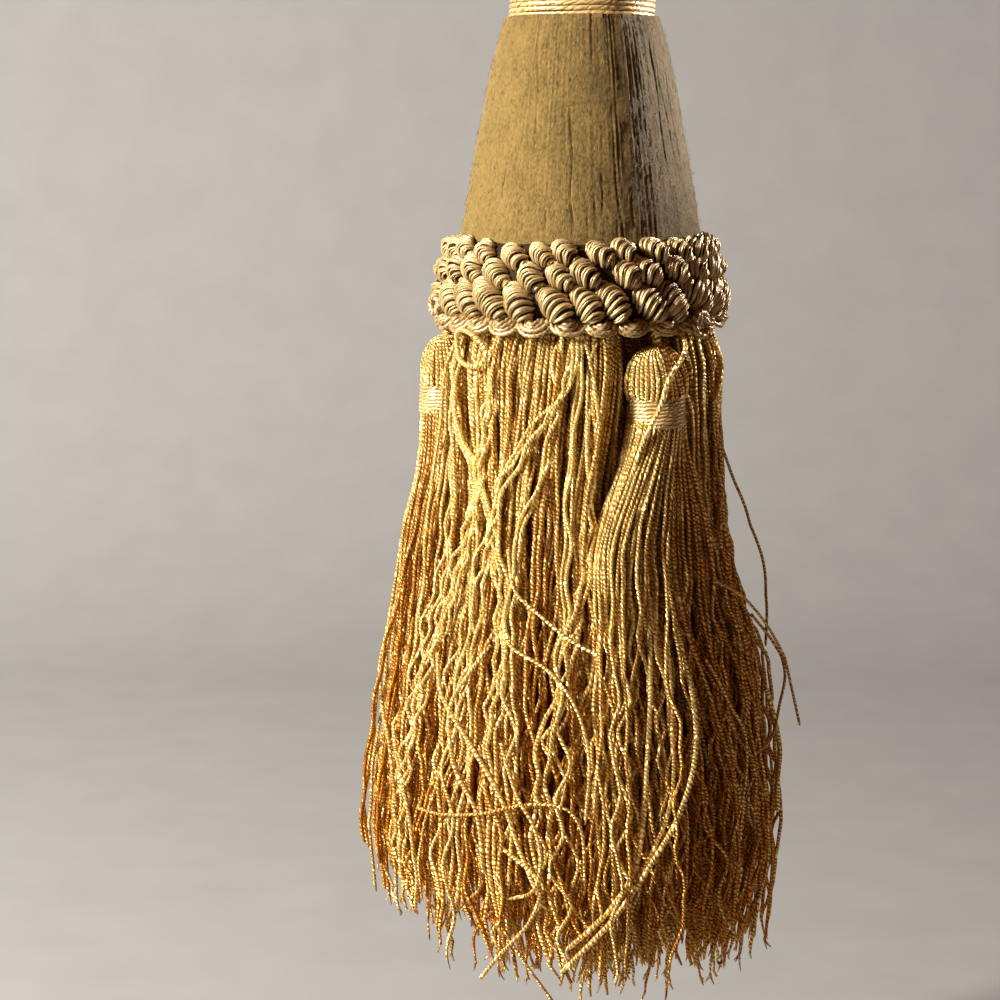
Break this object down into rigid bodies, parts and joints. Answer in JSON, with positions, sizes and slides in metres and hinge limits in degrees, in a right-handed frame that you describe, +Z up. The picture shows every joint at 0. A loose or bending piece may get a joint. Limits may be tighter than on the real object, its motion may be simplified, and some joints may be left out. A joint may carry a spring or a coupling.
{
  "type": "curtain tieback tassel",
  "caption": "Hanging curtain tieback tassel: yarn-wound conical head, twisted-cord collar with scalloped edge, long thread skirt and small bound tassels over it.",
  "frame": {"origin": "centre of the rope hole's mouth at the crown of the cap, which holds the tassel up; the whole tassel hangs below it", "axes": "+Z up along the hanging axis, -Y the pictured front, +X to the right in that view"},
  "size_m": [0.0913, 0.0913, 0.2305],
  "materials": {
    "cap_yarn": "wound gold yarn, soft sheen",
    "head_yarn": "wound khaki gold yarn, fuzzy satin",
    "binding_yarn": "bright gold satin yarn",
    "collar_cord": "twisted beige gold cord, satin",
    "skirt_thread": "twisted silky gold thread"
  },
  "bodies": {
    "root": {"cap": "cap_yarn", "head": "head_yarn", "neck_binding": "binding_yarn", "collar": "collar_cord", "scallop_edge": "collar_cord", "skirt": "skirt_thread", "small_tassel_right": "skirt_thread", "small_tassel_left": "skirt_thread", "small_tassel_back": "skirt_thread", "small_binding_right": "binding_yarn", "small_binding_left": "binding_yarn", "small_binding_back": "binding_yarn"}
  },
  "joints": []
}
